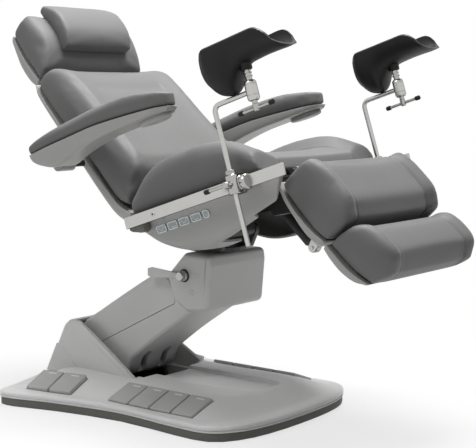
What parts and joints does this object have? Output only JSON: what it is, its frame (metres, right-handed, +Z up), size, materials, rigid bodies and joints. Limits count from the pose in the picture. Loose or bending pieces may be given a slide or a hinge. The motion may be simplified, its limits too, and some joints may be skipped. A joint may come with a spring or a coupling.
{
  "type": "gynecological examination chair",
  "caption": "Electric gynecological examination chair: base with foot pads, lift arm, tilting seat, reclining back with armrests and headrest, leg and foot supports, knee crutches.",
  "frame": {"origin": "on the floor under the middle of the base", "axes": "+X towards the foot end, -Y on the patient's right, +Z up"},
  "size_m": [1.3678, 0.796, 1.1962],
  "materials": {
    "upholstery": "satin",
    "shell_plastic": "satin",
    "base_plastic": "satin",
    "arm_paint": "satin",
    "skirt_rubber": "matte",
    "pedal_plastic": "matte",
    "black_steel": "satin",
    "stainless": "satin",
    "chrome": "polished",
    "black_moulding": "satin",
    "keypad_film": "satin",
    "zinc_steel": "satin"
  },
  "bodies": {
    "base": {"base_chassis": "black_steel", "base_skirt": "skirt_rubber", "base_cover": "base_plastic", "arm_shroud": "base_plastic", "lower_pivot_pin": "zinc_steel"},
    "foot_pad_right_1": {"foot_pad_right_1": "pedal_plastic"},
    "foot_pad_right_2": {"foot_pad_right_2": "pedal_plastic"},
    "foot_pad_right_3": {"foot_pad_right_3": "pedal_plastic"},
    "foot_pad_right_4": {"foot_pad_right_4": "pedal_plastic"},
    "foot_pad_right_5": {"foot_pad_right_5": "pedal_plastic"},
    "foot_pad_right_6": {"foot_pad_right_6": "pedal_plastic"},
    "foot_pad_left_1": {"foot_pad_left_1": "pedal_plastic"},
    "foot_pad_left_2": {"foot_pad_left_2": "pedal_plastic"},
    "foot_pad_left_3": {"foot_pad_left_3": "pedal_plastic"},
    "foot_pad_left_4": {"foot_pad_left_4": "pedal_plastic"},
    "foot_pad_left_5": {"foot_pad_left_5": "pedal_plastic"},
    "foot_pad_left_6": {"foot_pad_left_6": "pedal_plastic"},
    "lift_arm": {"lift_arm_casting": "arm_paint", "lift_arm_cover": "arm_paint"},
    "level_link": {"level_link": "zinc_steel"},
    "carrier": {"carrier_housing": "arm_paint", "upper_pivot_pin": "zinc_steel"},
    "swivel_lever": {"swivel_lever": "arm_paint"},
    "turntable": {"swivel_turntable": "black_steel"},
    "seat": {"seat_frame": "black_steel", "seat_shell": "shell_plastic", "seat_cushion": "upholstery", "side_rail_right": "stainless", "side_rail_left": "stainless", "seat_keypad": "keypad_film"},
    "backrest": {"backrest_shell": "shell_plastic", "backrest_cushion": "upholstery", "armrest_shaft": "black_steel"},
    "headrest_post": {"headrest_bracket": "black_steel"},
    "headrest": {"headrest_shell": "shell_plastic", "headrest_cushion": "upholstery", "head_pillow": "upholstery"},
    "armrest_right": {"armrest_shell_right": "shell_plastic", "armrest_pad_right": "upholstery"},
    "armrest_left": {"armrest_shell_left": "shell_plastic", "armrest_pad_left": "upholstery"},
    "legrest": {"legrest_shell": "shell_plastic", "legrest_cushion": "upholstery", "legrest_strut": "stainless"},
    "leg_actuator_tube": {"leg_actuator_tube": "black_steel"},
    "leg_actuator_rod": {"leg_actuator_rod": "chrome"},
    "footrest": {"footrest_shell": "shell_plastic", "footrest_cushion": "upholstery"},
    "rail_clamp_right": {"rail_clamp_right": "chrome"},
    "clamp_handle_right": {"clamp_handle_right": "chrome"},
    "clamp_collar_right": {"clamp_collar_right": "chrome"},
    "crutch_rod_right": {"crutch_rod_right": "stainless"},
    "t_handle_right": {"t_handle_right": "chrome"},
    "goblet_right": {"goblet_right": "black_moulding"},
    "rail_clamp_left": {"rail_clamp_left": "chrome"},
    "clamp_handle_left": {"clamp_handle_left": "chrome"},
    "clamp_collar_left": {"clamp_collar_left": "chrome"},
    "crutch_rod_left": {"crutch_rod_left": "stainless"},
    "t_handle_left": {"t_handle_left": "chrome"},
    "goblet_left": {"goblet_left": "black_moulding"}
  },
  "joints": [
    {"name": "press_foot_pad_right_1", "type": "slide", "parent": "base", "child": "foot_pad_right_1", "axis": [-0.0682, 0.3352, -0.9397], "range_m": [0, 0.004], "stiffness_N_per_m": 2500, "springref_m": -0.002},
    {"name": "press_foot_pad_right_2", "type": "slide", "parent": "base", "child": "foot_pad_right_2", "axis": [-0.0682, 0.3352, -0.9397], "range_m": [0, 0.004], "stiffness_N_per_m": 2500, "springref_m": -0.002},
    {"name": "press_foot_pad_right_3", "type": "slide", "parent": "base", "child": "foot_pad_right_3", "axis": [0, 0.342, -0.9397], "range_m": [0, 0.004], "stiffness_N_per_m": 2500, "springref_m": -0.002},
    {"name": "press_foot_pad_right_4", "type": "slide", "parent": "base", "child": "foot_pad_right_4", "axis": [0, 0.342, -0.9397], "range_m": [0, 0.004], "stiffness_N_per_m": 2500, "springref_m": -0.002},
    {"name": "press_foot_pad_right_5", "type": "slide", "parent": "base", "child": "foot_pad_right_5", "axis": [0, 0.342, -0.9397], "range_m": [0, 0.004], "stiffness_N_per_m": 2500, "springref_m": -0.002},
    {"name": "press_foot_pad_right_6", "type": "slide", "parent": "base", "child": "foot_pad_right_6", "axis": [0, 0.342, -0.9397], "range_m": [0, 0.004], "stiffness_N_per_m": 2500, "springref_m": -0.002},
    {"name": "press_foot_pad_left_1", "type": "slide", "parent": "base", "child": "foot_pad_left_1", "axis": [-0.0682, -0.3352, -0.9397], "range_m": [0, 0.004], "stiffness_N_per_m": 2500, "springref_m": -0.002},
    {"name": "press_foot_pad_left_2", "type": "slide", "parent": "base", "child": "foot_pad_left_2", "axis": [-0.0682, -0.3352, -0.9397], "range_m": [0, 0.004], "stiffness_N_per_m": 2500, "springref_m": -0.002},
    {"name": "press_foot_pad_left_3", "type": "slide", "parent": "base", "child": "foot_pad_left_3", "axis": [0, -0.342, -0.9397], "range_m": [0, 0.004], "stiffness_N_per_m": 2500, "springref_m": -0.002},
    {"name": "press_foot_pad_left_4", "type": "slide", "parent": "base", "child": "foot_pad_left_4", "axis": [0, -0.342, -0.9397], "range_m": [0, 0.004], "stiffness_N_per_m": 2500, "springref_m": -0.002},
    {"name": "press_foot_pad_left_5", "type": "slide", "parent": "base", "child": "foot_pad_left_5", "axis": [0, -0.342, -0.9397], "range_m": [0, 0.004], "stiffness_N_per_m": 2500, "springref_m": -0.002},
    {"name": "press_foot_pad_left_6", "type": "slide", "parent": "base", "child": "foot_pad_left_6", "axis": [0, -0.342, -0.9397], "range_m": [0, 0.004], "stiffness_N_per_m": 2500, "springref_m": -0.002},
    {"name": "lift", "type": "hinge", "parent": "base", "child": "lift_arm", "pos_m": [-0.19, 0, 0.13], "axis": [0, -1, 0], "range_deg": [-15, 25]},
    {"name": "level_link_swing", "type": "hinge", "parent": "base", "child": "level_link", "pos_m": [-0.235, 0, 0.175], "axis": [0, -1, 0], "range_deg": [-15, 25]},
    {"name": "carrier_level", "type": "hinge", "parent": "lift_arm", "child": "carrier", "pos_m": [0.16383, 0, 0.35628], "axis": [0, -1, 0], "range_deg": [-25, 15]},
    {"name": "swivel_lever_press", "type": "hinge", "parent": "carrier", "child": "swivel_lever", "pos_m": [0.16583, -0.1358, 0.40628], "axis": [0, 1, 0], "range_deg": [0, 30]},
    {"name": "seat_swivel", "type": "hinge", "parent": "carrier", "child": "turntable", "pos_m": [0.17983, 0, 0.47198], "axis": [0, 0, 1], "range_deg": [-90, 90]},
    {"name": "seat_tilt", "type": "hinge", "parent": "turntable", "child": "seat", "pos_m": [0.25993, 0, 0.52998], "axis": [0, 1, 0], "range_deg": [0, 17.8]},
    {"name": "back_recline", "type": "hinge", "parent": "seat", "child": "backrest", "pos_m": [0.10517, 0, 0.56484], "axis": [0, 1, 0], "range_deg": [-45, 10]},
    {"name": "head_height", "type": "slide", "parent": "backrest", "child": "headrest_post", "axis": [-0.6884, 0, 0.7254], "range_m": [0, 0.08]},
    {"name": "head_tilt", "type": "hinge", "parent": "headrest_post", "child": "headrest", "pos_m": [-0.37064, 0, 0.97908], "axis": [0, 1, 0], "range_deg": [-25, 15]},
    {"name": "armrest_right_fold", "type": "hinge", "parent": "backrest", "child": "armrest_right", "pos_m": [-0.11065, -0.344, 0.72399], "axis": [0, -1, 0], "range_deg": [0, 60]},
    {"name": "armrest_left_fold", "type": "hinge", "parent": "backrest", "child": "armrest_left", "pos_m": [-0.11065, 0.344, 0.72399], "axis": [0, -1, 0], "range_deg": [0, 60]},
    {"name": "leg_raise", "type": "hinge", "parent": "seat", "child": "legrest", "pos_m": [0.58904, 0, 0.72282], "axis": [0, -1, 0], "range_deg": [0, 48]},
    {"name": "leg_actuator_swing", "type": "hinge", "parent": "seat", "child": "leg_actuator_tube", "pos_m": [0.37489, 0, 0.64361], "axis": [0, -1, 0], "range_deg": [0, 24]},
    {"name": "leg_actuator_stroke", "type": "slide", "parent": "leg_actuator_tube", "child": "leg_actuator_rod", "axis": [0.7349, 0, -0.6782], "range_m": [0, 0.1513]},
    {"name": "foot_extend", "type": "slide", "parent": "legrest", "child": "footrest", "axis": [0.6691, 0, -0.7431], "range_m": [0, 0.1]},
    {"name": "clamp_slide_right", "type": "slide", "parent": "seat", "child": "rail_clamp_right", "axis": [0.9521, 0, 0.3057], "range_m": [-0.06, 0.1]},
    {"name": "clamp_handle_turn_right", "type": "hinge", "parent": "rail_clamp_right", "child": "clamp_handle_right", "pos_m": [0.50475, -0.332, 0.69419], "axis": [0, 1, 0], "range_deg": [-60, 60]},
    {"name": "crutch_swivel_right", "type": "hinge", "parent": "rail_clamp_right", "child": "clamp_collar_right", "pos_m": [0.49528, -0.332, 0.7237], "axis": [0.3057, 0, -0.9521], "range_deg": [-20, 60]},
    {"name": "crutch_height_right", "type": "slide", "parent": "clamp_collar_right", "child": "crutch_rod_right", "axis": [-0.3057, 0, 0.9521], "range_m": [-0.06, 0.1]},
    {"name": "t_handle_turn_right", "type": "hinge", "parent": "crutch_rod_right", "child": "t_handle_right", "pos_m": [0.57806, -0.332, 0.88787], "axis": [0.3057, 0, -0.9521], "range_deg": [-60, 60]},
    {"name": "goblet_swivel_right", "type": "hinge", "parent": "crutch_rod_right", "child": "goblet_right", "pos_m": [0.5426, -0.332, 0.99831], "axis": [0.3057, 0, -0.9521], "range_deg": [-60, 60]},
    {"name": "clamp_slide_left", "type": "slide", "parent": "seat", "child": "rail_clamp_left", "axis": [0.9521, 0, 0.3057], "range_m": [-0.06, 0.1]},
    {"name": "clamp_handle_turn_left", "type": "hinge", "parent": "rail_clamp_left", "child": "clamp_handle_left", "pos_m": [0.53046, 0.332, 0.70244], "axis": [0, 1, 0], "range_deg": [-60, 60]},
    {"name": "crutch_swivel_left", "type": "hinge", "parent": "rail_clamp_left", "child": "clamp_collar_left", "pos_m": [0.52099, 0.332, 0.73196], "axis": [-0.3057, 0, 0.9521], "range_deg": [-20, 60]},
    {"name": "crutch_height_left", "type": "slide", "parent": "clamp_collar_left", "child": "crutch_rod_left", "axis": [-0.3057, 0, 0.9521], "range_m": [-0.06, 0.1]},
    {"name": "t_handle_turn_left", "type": "hinge", "parent": "crutch_rod_left", "child": "t_handle_left", "pos_m": [0.60376, 0.332, 0.89612], "axis": [-0.3057, 0, 0.9521], "range_deg": [-60, 60]},
    {"name": "goblet_swivel_left", "type": "hinge", "parent": "crutch_rod_left", "child": "goblet_left", "pos_m": [0.5683, 0.332, 1.00657], "axis": [-0.3057, 0, 0.9521], "range_deg": [-60, 60]}
  ],
  "couplings": [
    {"joint": "level_link_swing", "follows": "lift", "ratio": 1},
    {"joint": "carrier_level", "follows": "lift", "ratio": -1},
    {"joint": "leg_actuator_swing", "follows": "leg_raise", "ratio": 0.5},
    {"joint": "leg_actuator_stroke", "follows": "leg_raise", "m_per_rad": 0.1805}
  ]
}
